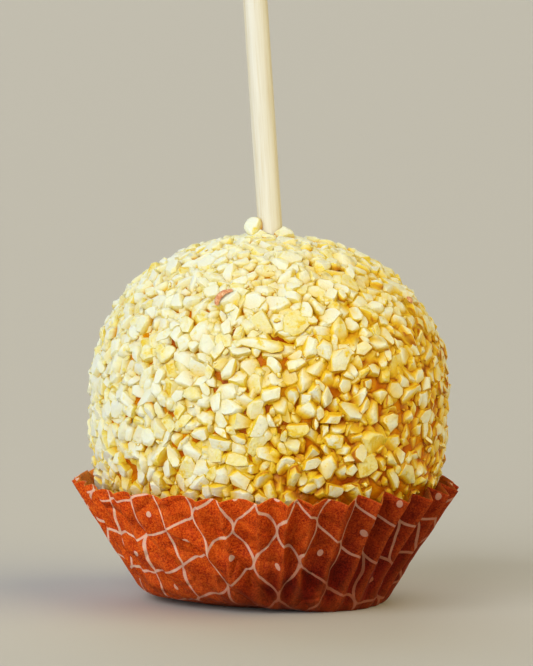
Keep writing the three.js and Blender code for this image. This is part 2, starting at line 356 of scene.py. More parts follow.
def towards_side(add, place, direction):
    """How far a place lies in that direction."""
    return add("ShaderNodeVectorMath", {0: place, 1: direction}, operation="DOT_PRODUCT").outputs["Value"]


def stored(add, name):
    return add("ShaderNodeAttribute", attribute_name=name).outputs["Fac"]


PAPER_LIGHT = (0.585, 0.064, 0.005)
PAPER_DARK = (0.25, 0.014, 0.002)
PAPER_GLINT = (0.80, 0.16, 0.012)
# The colour of the painted highlight on the outer ridges of the pleats.
PAPER_RIDGE_HIGHLIGHT = (0.74, 0.17, 0.030)
# The unprinted inside: its paler colour is painted light that shines through the thin paper.
INNER_LIT_THROUGH_LIGHT = (0.74, 0.27, 0.05)
INNER_LIT_THROUGH_DARK = (0.56, 0.15, 0.02)
PAPER_GLOW = (0.3, (1.0, 0.3, 0.1), 0.5 * MM)
# Painted shade: the paper's colours on the side turned away from the key light and low round the foot.
SHADED_PAPER_DARK = (0.055, 0.002, 0.0005)
SHADED_PAPER_LIGHT = (0.20, 0.011, 0.002)
SHADED_PAPER_SIDE = Vector((1.0, -0.45, -1.5))
FOOT_SHADE_Z = 15 * MM
FINE_CREASE_HEIGHT = 4.0 * MM

PRINT_COLOUR = (0.80, 0.55, 0.43)
# The print's colour where the paper has painted shade.
PRINT_SHADED = (0.33, 0.11, 0.062)
CELL_WIDTH = 13 * MM
CELL_HEIGHT = 19 * MM
LINE_SWING = 0.25  # of a cell's width, to either side
LINE_HALF_WIDTH = 0.33 * MM
DOT_RADIUS = 0.85 * MM
INK_EDGE = 0.08 * MM
HAND_WOBBLE = 1.6 * MM


def trellis_print(add, calc, flat_size):
    """How much ink lies on each place of the flat round: a wavy trellis, with a dot in each cell."""
    flat = add("ShaderNodeUVMap", uv_map="flat_round").outputs["UV"]
    real = add("ShaderNodeMapping", {"Vector": flat, "Scale": (flat_size,) * 3}).outputs["Vector"]
    wobble = add("ShaderNodeTexNoise", {"Vector": real, "Scale": 130, "Detail": 1}, noise_dimensions="2D")
    wobble = add("ShaderNodeVectorMath", {0: wobble.outputs["Color"], 1: (0.5,) * 3}, operation="SUBTRACT")
    wobble = add("ShaderNodeVectorMath", {0: wobble.outputs[0], "Scale": HAND_WOBBLE}, operation="SCALE")
    drawn = add("ShaderNodeVectorMath", {0: real, 1: wobble.outputs[0]}, operation="ADD").outputs[0]
    place = add("ShaderNodeSeparateXYZ", {0: drawn})
    across = calc("DIVIDE", place.outputs["X"], CELL_WIDTH)
    down = calc("DIVIDE", place.outputs["Y"], CELL_HEIGHT)
    turn = calc("MULTIPLY", down, math.tau)
    swing = calc("MULTIPLY_ADD", calc("COSINE", turn), LINE_SWING, LINE_SWING)
    steepness = calc("MULTIPLY", calc("SINE", turn), LINE_SWING * math.tau * CELL_WIDTH / CELL_HEIGHT)
    lengthening = calc("SQRT", calc("MULTIPLY_ADD", steepness, steepness, 1))
    lines = []
    for way in ("ADD", "SUBTRACT"):
        off_line = calc("PINGPONG", calc(way, across, swing), 0.5)
        lines.append(calc("DIVIDE", calc("MULTIPLY", off_line, CELL_WIDTH), lengthening))
    distance = calc("SUBTRACT", calc("MINIMUM", *lines), LINE_HALF_WIDTH)
    from_dot = [
        calc("MULTIPLY", calc("PINGPONG", share, 0.5), size)
        for share, size in ((across, CELL_WIDTH), (down, CELL_HEIGHT))
    ]
    off_dot = calc("SQRT", calc("ADD", calc("POWER", from_dot[0], 2), calc("POWER", from_dot[1], 2)))
    distance = calc("MINIMUM", distance, calc("SUBTRACT", off_dot, DOT_RADIUS))
    return smooth_step(add, distance, INK_EDGE, -INK_EDGE)


def paper_material(name, light, dark, flat_size=None):
    """Greaseproof paper, with the print on it where the size of its flat round is given."""
    material, shader, add, calc = new_material(name, 0.62, 0.06, PAPER_GLOW)
    place = add("ShaderNodeTexCoord").outputs["Object"]
    fibres = noise_field(add, place, 2300, 3, 0.75)
    clouds = noise_field(add, place, 260, 3, 0.6)
    mottle = calc("ADD", calc("MULTIPLY", fibres, 0.74), calc("MULTIPLY", clouds, 0.26))
    paper = colour_ramp(add, mottle, [(0.38, dark), (0.5, light), (0.64, PAPER_GLINT)])
    # Painted shade: the paper is darker on the side turned away from the key light, and low round the foot.
    paper_shade = smooth_step(add, towards_side(add, place, SHADED_PAPER_SIDE / FOOT_RADIUS), -1.15, 1.0, 0.9)
    height = add("ShaderNodeSeparateXYZ", {0: place}).outputs["Z"]
    paper_shade = calc("MINIMUM", calc("ADD", paper_shade, fade(add, height, FOOT_SHADE_Z, 0.0, most=0.5)), 1.0)
    # Painted shade in the valleys of the folds, and a painted highlight on the outer ridges.
    valley = stored(add, "valley")
    crevice_shade = calc("MULTIPLY", valley, calc("MULTIPLY_ADD", paper_shade, 0.35, 0.05))
    shaded_paper = colour_ramp(add, mottle, [(0.40, SHADED_PAPER_DARK), (0.62, SHADED_PAPER_LIGHT)])
    paper = blend_colours(add, calc("MINIMUM", calc("ADD", paper_shade, crevice_shade), 1.0), paper, shaded_paper)
    # Painted highlight: the outer ridges are lighter.
    ridge_highlight = calc("MULTIPLY", fade(add, valley, 0.22, 0.0, most=0.3), calc("MULTIPLY_ADD", mottle, 1.4, -0.2))
    paper = blend_colours(add, ridge_highlight, paper, PAPER_RIDGE_HIGHLIGHT)
    # The print darkens with the painted shade too.
    if flat_size:
        ink = calc("MULTIPLY", trellis_print(add, calc, flat_size), calc("MULTIPLY_ADD", mottle, 0.6, 0.5))
        paper = blend_colours(add, ink, paper, blend_colours(add, paper_shade, PRINT_COLOUR, PRINT_SHADED))
    # Sharp little creases, most of all where it was handled.
    creases = calc("ABSOLUTE", calc("SUBTRACT", noise_field(add, place, 105, 1, distortion=0.6), 0.5))
    handled = towards_side(add, place, round_about(KINKED_AT) / FOOT_RADIUS)
    creases = calc("MULTIPLY", creases, fade(add, handled, 0.3, 1.2, least=0.15))
    creases = {"Height": creases, "Strength": 1.0, "Distance": FINE_CREASE_HEIGHT}
    under = {"Normal": add("ShaderNodeBump", creases).outputs["Normal"]}
    join_surface(shader, add, paper, mottle, 0.4, 0.07 * MM, under)
    return material


cup_mesh, flat_size = paper_sheet()
paper_cup = set_out("paper_cup", cup_mesh)
cup_mesh.materials.append(paper_material("printed_paper", PAPER_LIGHT, PAPER_DARK, flat_size))
# The inside is unprinted, and painted lighter for the light that shines through it.
cup_mesh.materials.append(paper_material("plain_paper_lit_through", INNER_LIT_THROUGH_LIGHT, INNER_LIT_THROUGH_DARK))
thicken = paper_cup.modifiers.new("paper thickness", "SOLIDIFY")
thicken.thickness = PAPER_THICKNESS
thicken.offset = -1
thicken.material_offset = 1
thicken.material_offset_rim = 1
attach(paper_cup, "root")
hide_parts("paper_case")


# ---------------------------------------------------------------- caramel coat
# The apple was dipped in hot amber caramel, which set as a lumpy glossy skin with a flat foot, and climbs
# a little round the stick. It shows in the gaps between the nuts. One closed mesh, from a ball of triangles.

APPLE_MIDDLE = Vector((0.5, 0, 50)) * MM
EQUATOR_RADIUS = 44.3 * MM
APPLE_RISE = 39.8 * MM
APPLE_DROP = 53 * MM
CROWN_POWER = 2.2
BASE_POWER = 2.3
COAT_BELOW_NUTS = 2.0 * MM
COAT_LUMPS = 0.35 * MM
# The caramel coat is thicker on this side, which is turned away from the key light; the nuts here get painted
# shade in their colour.
CARAMEL_AND_SHADE_SIDE = Vector((0.80, -0.45, -0.40))  # the side where the caramel ran thicker and wetted the nuts
COAT_THICKER = 0.8 * MM
COAT_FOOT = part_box("coated_apple")[0].z
MOUND_RADIUS = 6.5 * MM
MOUND_HEIGHT = 1.4 * MM
CARAMEL_AMBERS = ((0.3, (0.28, 0.040, 0.001)), (0.5, (0.50, 0.13, 0.001)), (0.72, (0.70, 0.31, 0.002)))
CARAMEL_GLOW = (0.3, (0.8, 0.4, 0.05), 0.8 * MM)


def half_form(directions):
    """The power and the height of the half, crown or base, that each direction points to."""
    upper = directions[:, 2] > 0
    return np.where(upper, CROWN_POWER, BASE_POWER), np.where(upper, APPLE_RISE, APPLE_DROP)


def outer_reach(directions):
    """How far the form over the tops of the nuts lies from the apple's middle, in each unit direction."""
    power, height = half_form(directions)
    flat = np.hypot(directions[:, 0], directions[:, 1])
    return ((flat / EQUATOR_RADIUS) ** power + (np.abs(directions[:, 2]) / height) ** power) ** (-1 / power)


def unit(rows):
    return rows / np.linalg.norm(rows, axis=1)[:, None]


def outer_normals(directions):
    """The outward normals of that form."""
    power, height = half_form(directions)
    points = directions * outer_reach(directions)[:, None]
    flat = np.maximum(np.hypot(points[:, 0], points[:, 1]), 1e-9)
    sideways = (flat / EQUATOR_RADIUS) ** (power - 1) / EQUATOR_RADIUS
    upwards = (np.abs(points[:, 2]) / height) ** (power - 1) / height * np.sign(points[:, 2])
    return unit(np.stack([sideways * points[:, 0] / flat, sideways * points[:, 1] / flat, upwards], axis=1))


def smooth_shape(lump, name):
    """Turns a bmesh into a mesh that is shaded smooth."""
    shape = bpy.data.meshes.new(name)
    lump.to_mesh(shape)
    lump.free()
    shape.polygons.foreach_set("use_smooth", [True] * len(shape.polygons))
    return shape


def caramel_ball():
    ball = bmesh.new()
    bmesh.ops.create_icosphere(ball, subdivisions=6, radius=1)
    directions = unit(np.array([vert.co for vert in ball.verts]))
    thicker = np.clip(directions @ np.array(CARAMEL_AND_SHADE_SIDE), 0, 1) ** 3
    reaches = outer_reach(directions) - COAT_BELOW_NUTS + COAT_THICKER * thicker
    for vert, direction, reach in zip(ball.verts, directions, reaches):
        point = Vector(direction) * reach + APPLE_MIDDLE
        point += Vector(direction) * COAT_LUMPS * (noise.noise(point * 260) + 0.6 * noise.noise(point * 620))
        from_stick = math.hypot(point.x - APPLE_MIDDLE.x, point.y) / MOUND_RADIUS
        if point.z > APPLE_MIDDLE.z and from_stick < 1:
            point.z += MOUND_HEIGHT * (1 - from_stick**2) ** 2
        point.z = max(point.z, COAT_FOOT)
        vert.co = point
    return smooth_shape(ball, "caramel_coat")


def caramel_material():
    material, shader, add, _ = new_material("amber_caramel", 0.22, 0.06, CARAMEL_GLOW)
    place = add("ShaderNodeTexCoord").outputs["Object"]
    amber = colour_ramp(add, noise_field(add, place, 190, 3), CARAMEL_AMBERS)
    join_surface(shader, add, amber, noise_field(add, place, 900, 2), 0.9, 0.4 * MM)
    return material


caramel_coat = set_out("caramel_coat", caramel_ball())
caramel_coat.data.materials.append(caramel_material())
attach(caramel_coat, "root")
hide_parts("coated_apple")


# ---------------------------------------------------------------- the cut of the nuts
# Blanched nut halves, chopped with a knife: smooth rounded lumps, cut off by a few flat strokes, with worn
# edges. The shapes are cut here, each in a box of side 1, and later laid on the apple at their real sizes.

UP = Vector((0, 0, 1))
BLOCKY = 2.5  # 2 is an ellipsoid, and more is squarer
UNEVEN = 0.32
HALF_BREADTH, HALF_DEPTH = 0.8, 0.62  # of a whole half nut, against its length
SIDE_STROKE = (0.55, 0.85)  # where a stroke falls, as a share of the way out
TOP_STROKE = (0.6, 0.86)
BASE_STROKE = 0.6
UNEVEN_TURN = 0.35  # share of the turn between two strokes by which either may stray
STEEPEST_SIDE = 0.75
TOP_SLANT = 0.36
RAGGED = 0.1  # how far the broken corners stray, of the lump's radius
LEAST_FACET = math.radians(17)  # facets that meet at less are one
SHARP_EDGE = math.radians(36)  # edges that turn more are worn off
SHORT_CUT, SHORT_WEAR = 0.09, 0.02  # corners closer than this become one, before and after the wear
FOLDED_OVER = 0.3  # how far a face agrees with its corners' normals, below which it has folded over
LEVEL_TOP, FLANK_SPAN = 0.97, 0.5  # a normal's climb where the flank starts, and its fall to a full flank


def cut_off(lump, across, depth):
    """Cuts off what lies beyond depth in the direction across, and closes the cut with one flat face."""
    everything = lump.verts[:] + lump.edges[:] + lump.faces[:]
    cut = bmesh.ops.bisect_plane(
        lump, geom=everything, plane_co=across * depth, plane_no=across, clear_outer=True
    )
    edges = [item for item in cut["geom_cut"] if isinstance(item, bmesh.types.BMEdge)]
    if edges:
        bmesh.ops.edgeloop_fill(lump, edges=edges)


def stray(at):
    """A smooth random shift for each place."""
    return Vector([noise.noise(at + Vector((23.7 * axis, 0, 0))) for axis in range(3)])


def keep_hull(lump):
    """Keeps only the corners that stand out, with flat faces between them."""
    corners = [vert.co.copy() for vert in lump.verts]
    lump.clear()
    for corner in corners:
        lump.verts.new(corner)
    bmesh.ops.convex_hull(lump, input=lump.verts[:])
    bmesh.ops.delete(lump, geom=[vert for vert in lump.verts if not vert.link_faces], context="VERTS")


def chopped_nut(name, draw, fineness, wear, count):
    lump = bmesh.new()
    bmesh.ops.create_icosphere(lump, subdivisions=fineness, radius=1)
    place = Vector([draw.uniform(-50, 50) for _ in range(3)])
    for vert in lump.verts:
        swell = 1 + UNEVEN * noise.noise(vert.co * 0.9 + place)
        swell /= sum(abs(side) ** BLOCKY for side in vert.co) ** (1 / BLOCKY)
        vert.co = Vector((vert.co.x, vert.co.y * HALF_BREADTH, vert.co.z * HALF_DEPTH)) * swell

    def stroke(across, share):
        across = across.normalized()
        reach = max(across.dot(vert.co) for vert in lump.verts)
        cut_off(lump, across, reach * share)

    turn = draw.uniform(0, math.tau)
    for number in range(count):
        angle = turn + math.tau * (number + draw.uniform(-UNEVEN_TURN, UNEVEN_TURN)) / count
        stroke(round_about(angle, draw.uniform(0.0, STEEPEST_SIDE)), draw.uniform(*SIDE_STROKE))
    for _ in range(draw.choice((1, 1, 2))):
        slants = [draw.uniform(-TOP_SLANT, TOP_SLANT) for _ in range(2)]
        stroke(Vector((*slants, 1)), draw.uniform(*TOP_STROKE))
    stroke(-UP, BASE_STROKE)
    bmesh.ops.remove_doubles(lump, verts=lump.verts[:], dist=SHORT_CUT)
    bmesh.ops.dissolve_limit(lump, angle_limit=LEAST_FACET, verts=lump.verts[:], edges=lump.edges[:])
    for vert in lump.verts:
        vert.co += RAGGED * stray(vert.co * 2.6 + place)
    if wear:
        sharp = [edge for edge in lump.edges if edge.is_manifold and edge.calc_face_angle(0) > SHARP_EDGE]
        bmesh.ops.bevel(
            lump, geom=sharp, offset=wear, segments=1, profile=0.5, affect="EDGES", clamp_overlap=True
        )
    bmesh.ops.remove_doubles(lump, verts=lump.verts[:], dist=SHORT_WEAR)
    bmesh.ops.recalc_face_normals(lump, faces=lump.faces[:])
    lump.normal_update()
    # A lump that wear or straying has folded over gives way to its own hull.
    if any(face.normal.dot(vert.normal) < FOLDED_OVER for face in lump.faces for vert in face.verts):
        keep_hull(lump)
        lump.normal_update()
    corners = np.array([vert.co for vert in lump.verts])
    low, high = corners.min(axis=0), corners.max(axis=0)
    # Flank says how much a corner looks sideways: the material paints shade on the broken sides, and leaves the
    # tops pale.
    flanks = [min(1, max(0, (LEVEL_TOP - vert.normal.z) / FLANK_SPAN)) for vert in lump.verts]
    for vert, corner in zip(lump.verts, corners):
        vert.co = Vector((corner - (low + high) / 2) / (high - low))
    lows = [0.5 - vert.co.z for vert in lump.verts]
    shape = smooth_shape(lump, name)
    store(shape, "flank", flanks)
    store(shape, "low", lows)
    return shape


def cut_board(name, seed, count, fineness, wear, strokes):
    """A collection of loose chopped shapes, kept out of the scene, for the node tree to pick from.

    The shapes take the numbers of strokes in turn.
    """
    draw = random.Random(seed)
    board = bpy.data.collections.new(name)
    for number in range(count):
        label = f"{name}_{number:02d}"
        shape = chopped_nut(label, draw, fineness, wear, strokes[number % len(strokes)])
        board.objects.link(bpy.data.objects.new(label, shape))
    return board


# Name, seed, number of shapes, fineness of the ball, wear of the edges, and numbers of strokes.
large_cuts = cut_board("large_cuts", 3, 35, 2, 0.11, (1, 3, 4, 4, 5))
medium_cuts = cut_board("medium_cuts", 4, 35, 2, 0.12, (2, 3, 3, 4, 4))
small_cuts = cut_board("small_cuts", 5, 20, 1, 0.13, (2, 3, 3, 4))
sunk_cuts = cut_board("sunk_cuts", 6, 20, 1, 0, (2, 3, 4, 4))
crumb_cuts = cut_board("crumb_cuts", 7, 16, 1, 0, (3, 4))


# ---------------------------------------------------------------- where the nuts lie
# The apple was rolled in a tray of chopped nuts until no more would stick: the large pieces took hold first
# and the smaller ones filled in between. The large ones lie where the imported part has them, and the others
# are strewn at random and then nudged along the surface until they touch without crossing.

LARGE_SEED = 1209
LARGE_COUNT = 276
LARGE_LENGTH = (4.4 * MM, 7.0 * MM)
LARGE_HIGHEST = 0.982
LARGE_LOWEST_Z = 27.5 * MM
LARGE_TILT = math.radians(17)
LARGE_RISE = (-0.6 * MM, 0.3 * MM)
WIDTH_SHARE = (0.6, 0.88)
THICKNESS_SHARE = (0.45, 0.6)
GOLDEN_ANGLE = math.pi * (3 - math.sqrt(5))


def one_nut(middle, facing, along, size, **more):
    """A nut's middle, the way that its top faces, its long axis, and its length, width and thickness."""
    return {"middle": middle, "facing": facing, "along": along, "room": Vector(size), **more}


def drawn_size(lengths, draw):
    length = between(lengths, next(draw))
    return length, length * between(WIDTH_SHARE, next(draw)), length * between(THICKNESS_SHARE, next(draw))


def large_nuts():
    """The large nuts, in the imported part's own places."""
    draw = number_stream(LARGE_SEED)
    lowest = (LARGE_LOWEST_Z - APPLE_MIDDLE.z) / EQUATOR_RADIUS
    nuts = []
    for number in range(LARGE_COUNT):
        z = LARGE_HIGHEST - (number + 0.5) / LARGE_COUNT * (LARGE_HIGHEST - lowest)
        angle = number * GOLDEN_ANGLE + (next(draw) - 0.5) * 0.1
        flat = math.sqrt(1 - z * z)
        outward = Vector((flat * math.cos(angle), flat * math.sin(angle), z))
        size = drawn_size(LARGE_LENGTH, draw)
        rise = between(LARGE_RISE, next(draw))
        spin = math.tau * next(draw)
        tilt = LARGE_TILT * next(draw)
        towards = math.tau * next(draw)
        east = UP.cross(outward).normalized()
        tip_axis = Matrix.Rotation(towards, 3, outward) @ east
        turn = Matrix.Rotation(tilt, 3, tip_axis) @ Matrix.Rotation(spin, 3, outward)
        reach = outer_reach(np.array([outward]))[0] + rise
        middle = APPLE_MIDDLE + outward * (reach - size[2] / 2)
        nuts.append(one_nut(middle, turn @ outward, turn @ east, size))
    return nuts


COLLAR_SEED = 31
COLLAR_COUNT = 7
COLLAR_RADIUS = 5.2 * MM
COLLAR_LENGTH = (4.6 * MM, 5.8 * MM)
COLLAR_RISE = (0.1 * MM, 1.7 * MM)
COLLAR_TILT = math.radians(32)
COLLAR_TONE = 0.3
LEANING_AT = Vector((-4.5, -2.2, APPLE_RISE / MM + 1.7)) * MM
LEANING_SIZE = Vector((5.4, 4.2, 3.4)) * MM
LEANING_CUT = 10


def collar_nuts():
    """The nuts that stand round the stick, tilted up against it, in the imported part's places."""
    draw = number_stream(COLLAR_SEED)
    nuts = []
    for number in range(COLLAR_COUNT):
        angle = math.tau * (number + 0.4 * next(draw)) / COLLAR_COUNT
        size = drawn_size(COLLAR_LENGTH, draw)
        outward = round_about(angle)
        rise = between(COLLAR_RISE, next(draw))
        lean = Matrix.Rotation(COLLAR_TILT * (0.4 + 0.6 * next(draw)), 3, Vector((-outward.y, outward.x, 0)))
        up = lean @ UP
        top = APPLE_MIDDLE + outward * COLLAR_RADIUS + Vector((0, 0, APPLE_RISE + rise))
        nuts.append(one_nut(top - up * size[2] / 2, up, up.cross(lean @ outward), size, tone=COLLAR_TONE))
    # One rounded piece leans right up against the stick.
    facing, along = Vector((-0.55, -0.75, 0.35)), Vector((0.35, 0.15, 0.92))
    leaning = {"tone": COLLAR_TONE, "cut": LEANING_CUT}
    nuts.append(one_nut(APPLE_MIDDLE + LEANING_AT, facing, along, LEANING_SIZE, **leaning))
    return nuts


# Pieces that stand out on the front: azimuth and elevation, length and width in mm, how far the long axis is
# turned up from the level, how many mm the piece stands proud, its tone, and the number of its cut.
NOTABLE = (
    (-81, 28.5, 8.0, 6.0, 50, 0.5, 0.93, 5),
    (-93, 21.3, 11.6, 3.9, -6, 0.2, 0.5, 0),
    (-67, 15.4, 7.2, 6.4, 30, 0.3, 0.4, 4),
    (-76.5, 20.3, 6.4, 4.4, 80, 0.3, 0.3, 1),
    (-76.2, 33.0, 5.0, 3.4, 85, 0.3, 0.1, 6),
    (-105.5, 33.2, 3.2, 2.5, 30, 0.2, 0.3, 10),
    (-120, 21.0, 5.0, 4.4, 20, 0.2, 0.2, 11),
    (-126, 17.0, 5.4, 3.6, 45, 0.3, 0.92, 15),
    (-103, 13.0, 6.0, 3.4, 70, 0.3, 0.2, 2),
    (-89.5, 5.5, 5.2, 4.6, 10, 0.2, 0.3, 3),
    (-70.0, -2.0, 6.0, 3.2, 12, 0.3, 0.3, 7),
    (-57.0, -17.0, 7.0, 5.6, 25, 0.1, 0.97, 10),
    (-81.0, -5.5, 6.2, 3.4, 5, 0.1, 0.97, 20),
    (-131.0, -9.5, 4.8, 4.4, 60, 0.4, 0.1, 5),
)
NOTABLE_THICKNESS = 0.6  # of the width


def spot(azimuth, elevation, turned_up):
    """A place on the form over the nuts, its outward normal, and a tangent turned up from the level there."""
    azimuth, elevation = math.radians(azimuth), math.radians(elevation)
    flat = math.cos(elevation)
    direction = Vector((flat * math.cos(azimuth), flat * math.sin(azimuth), math.sin(elevation)))
    outward = Vector(outer_normals(np.array([direction]))[0])
    level = UP.cross(outward).normalized()
    top = APPLE_MIDDLE + direction * outer_reach(np.array([direction]))[0]
    return top, outward, Matrix.Rotation(math.radians(turned_up), 3, outward) @ level


def notable_nuts():
    nuts = []
    for azimuth, elevation, length, width, turned_up, rise, tone, cut in NOTABLE:
        top, outward, along = spot(azimuth, elevation, turned_up)
        thickness = width * NOTABLE_THICKNESS * MM
        middle = top + outward * (rise * MM - thickness / 2)
        nuts.append(one_nut(middle, outward, along, (length * MM, width * MM, thickness), tone=tone, cut=cut))
    return nuts


STREWN = (  # count, shortest and longest piece
    (600, 5.6 * MM, 8.1 * MM),
    (520, 4.5 * MM, 5.6 * MM),
    (380, 2.9 * MM, 4.5 * MM),
)
STREWN_SEED = 8
FIRST_TILT_SEED = 21
STREWN_HIGHEST = 0.992
STREWN_LOWEST_Z = 13 * MM
STREWN_WIDTH_SHARE = (0.42, 0.88)
STREWN_THICKNESS_SHARE = (0.48, 0.7)
STREWN_TILT = math.radians(32)
STREWN_RISE = (-0.9 * MM, 0.35 * MM)
TOUCH = 0.72  # share of its outline that a piece defends: its cut corners may tuck under a neighbour
NUDGES = 110
NUDGE_SHARE = 0.22  # of an overlap, given way to at each nudge
LONGEST_NUDGE = 0.35 * MM
LARGEST_SPIN = 0.3
PAIRS_LAST = 8  # nudges between two searches for neighbours
PAIR_SLACK = 1.2 * MM
STICK_CLEAR = 4.4 * MM
CASE_EDGE_Z = 31 * MM
TUCK_IN_CASE = 0.9 * MM
TUCK_OVER = 5 * MM


def near_pairs(places, half_length):
    first, second = [], []
    for index in range(len(places) - 1):
        reach = half_length[index] + half_length[index + 1 :] + PAIR_SLACK
        near = np.sum((places[index + 1 :] - places[index]) ** 2, axis=1) < reach**2
        found = np.nonzero(near)[0] + index + 1
        first.append(np.full(len(found), index))
        second.append(found)
    return np.concatenate(first), np.concatenate(second)


def spiral_directions(count, lowest_z, jitter, rng):
    """Unit directions spread evenly from the crown down to a height, by the golden angle, and then shaken."""
    lowest = (lowest_z - APPLE_MIDDLE.z) / EQUATOR_RADIUS
    numbers = rng.permutation(count)
    z = STREWN_HIGHEST - (numbers + 0.5) / count * (STREWN_HIGHEST - lowest)
    z = np.clip(z + rng.uniform(-jitter, jitter, count) * 0.4, lowest, STREWN_HIGHEST)
    angle = numbers * GOLDEN_ANGLE + rng.uniform(-jitter, jitter, count)
    flat = np.sqrt(1 - z * z)
    return np.stack([flat * np.cos(angle), flat * np.sin(angle), z], axis=1)


def strewn_sizes(lengths, count, rng):
    length = rng.uniform(*lengths, count)
    width = length * rng.uniform(*STREWN_WIDTH_SHARE, count)
    thickness = length * rng.uniform(*STREWN_THICKNESS_SHARE, count)
    return np.stack([length, width, thickness], axis=1)


def strew_and_nudge(fixed):
    """Directions, tangents and sizes of the strewn pieces, once they have been nudged apart."""
    rng = np.random.default_rng(STREWN_SEED)
    sizes = np.concatenate([strewn_sizes(lengths, count, rng) for count, *lengths in STREWN])
    loose = len(sizes)
    directions = spiral_directions(loose, STREWN_LOWEST_Z, 0.06, rng)
    fixed_places = np.array([nut["middle"] for nut in fixed]) - np.array(APPLE_MIDDLE)
    directions = np.concatenate([directions, unit(fixed_places)])
    sizes = np.concatenate([sizes, np.array([nut["room"] for nut in fixed])])
    along = rng.normal(size=(len(sizes), 3))
    along[loose:] = np.array([nut["along"] for nut in fixed])
    half_length = sizes[:, 0] / 2 * TOUCH
    half_width = sizes[:, 1] / 2 * TOUCH
    offset = half_length - half_width
    mobility = np.where(np.arange(len(sizes)) < loose, 1.0, 0.0)
    for nudge in range(NUDGES):
        normals = outer_normals(directions)
        along = unit(along - normals * np.sum(along * normals, axis=1)[:, None])
        places = directions * outer_reach(directions)[:, None]
        if nudge % PAIRS_LAST == 0:
            first, second = near_pairs(places, half_length)
        shift = np.zeros_like(places)
        spin = np.zeros(len(places))
        for end_a in (-1, 1):
            for end_b in (-1, 1):
                arm_a = along[first] * (end_a * offset[first])[:, None]
                arm_b = along[second] * (end_b * offset[second])[:, None]
                apart = places[first] + arm_a - places[second] - arm_b
                distance = np.maximum(np.linalg.norm(apart, axis=1), 1e-7)
                overlap = np.maximum(half_width[first] + half_width[second] - distance, 0)
                push = apart / distance[:, None] * overlap[:, None] * NUDGE_SHARE
                share = (mobility[first] / (mobility[first] + mobility[second] + 1e-9))[:, None]
                for index, arm, force in ((first, arm_a, push * share), (second, arm_b, -push * (1 - share))):
                    np.add.at(shift, index, force)
                    lever = np.sum(np.cross(arm, force) * normals[index], axis=1)
                    np.add.at(spin, index, lever / np.maximum(half_length[index], 1e-6) ** 2)
        shift *= mobility[:, None]
        size = np.linalg.norm(shift, axis=1)
        shift *= np.minimum(1, LONGEST_NUDGE / np.maximum(size, 1e-9))[:, None]
        places += shift
        # The stick keeps its own room free.
        from_stick = np.hypot(places[:, 0], places[:, 1])
        crowding = (places[:, 2] > 0) & (from_stick < STICK_CLEAR) & (mobility > 0)
        places[crowding, :2] *= (STICK_CLEAR / np.maximum(from_stick[crowding], 1e-6))[:, None]
        directions = unit(places)
        along += np.cross(normals, along) * np.clip(spin * mobility, -LARGEST_SPIN, LARGEST_SPIN)[:, None]
    return directions[:loose], along[:loose], sizes[:loose]


def strewn_nuts(directions, along, sizes, tilt, rises, seed):
    """Lays each piece on the form, sunk or proud by its own rise and tipped by its own tilt."""
    draw = random.Random(seed)
    normals = outer_normals(directions)
    reaches = outer_reach(directions)
    nuts = []
    for direction, normal, tangent, size, reach in zip(directions, normals, along, sizes, reaches):
        outward = Vector(normal)
        tip_axis = Matrix.Rotation(draw.uniform(0, math.tau), 3, outward) @ Vector(tangent)
        turn = Matrix.Rotation(tilt * draw.random() ** 1.3, 3, tip_axis)
        top = APPLE_MIDDLE + Vector(direction) * reach + outward * between(rises, draw.random())
        if top.z < CASE_EDGE_Z:
            top -= outward * TUCK_IN_CASE * min(1, (CASE_EDGE_Z - top.z) / TUCK_OVER)
        nuts.append(one_nut(top - outward * size[2] / 2, turn @ outward, turn @ Vector(tangent), size))
    return nuts


BED_SEED = 17
BED_TILT_SEED = 23
BED_COUNT = 2300
BED_LENGTH = (3.2 * MM, 5.6 * MM)
BED_RISE = (-1.5 * MM, -0.6 * MM)
BED_TILT = math.radians(34)


def bed_nuts():
    """The pieces underneath, sunk in the caramel, which show in the gaps between the upper ones."""
    rng = np.random.default_rng(BED_SEED)
    bed = spiral_directions(BED_COUNT, STREWN_LOWEST_Z, 0.04, rng)
    sizes = strewn_sizes(BED_LENGTH, BED_COUNT, rng)
    tangents = unit(np.cross(outer_normals(bed), rng.normal(size=(BED_COUNT, 3))))
    return strewn_nuts(bed, tangents, sizes, BED_TILT, BED_RISE, BED_TILT_SEED)


def clear_of(nuts, others, gap):
    """The nuts that lie further than the gap from all the others."""
    return [nut for nut in nuts if min((nut["middle"] - other["middle"]).length for other in others) > gap]


CLEAR_OF_NOTABLE = 4.6 * MM
notable = notable_nuts()
fixed_nuts = clear_of(large_nuts(), notable, CLEAR_OF_NOTABLE) + notable + collar_nuts()
directions, along, sizes = strew_and_nudge(fixed_nuts)
strewn = []
for seed, (_, shortest, longest) in enumerate(STREWN, FIRST_TILT_SEED):
    kind = (sizes[:, 0] >= shortest) & (sizes[:, 0] < longest)
    strewn.append(strewn_nuts(directions[kind], along[kind], sizes[kind], STREWN_TILT, STREWN_RISE, seed))


# ---------------------------------------------------------------- chopped nuts
# Each kind of piece is one joined mesh. Its places are the points of a bare mesh, which carry each piece's
# size, the way that it faces and its tone. One node tree lays a chopped shape on every point, as real mesh.


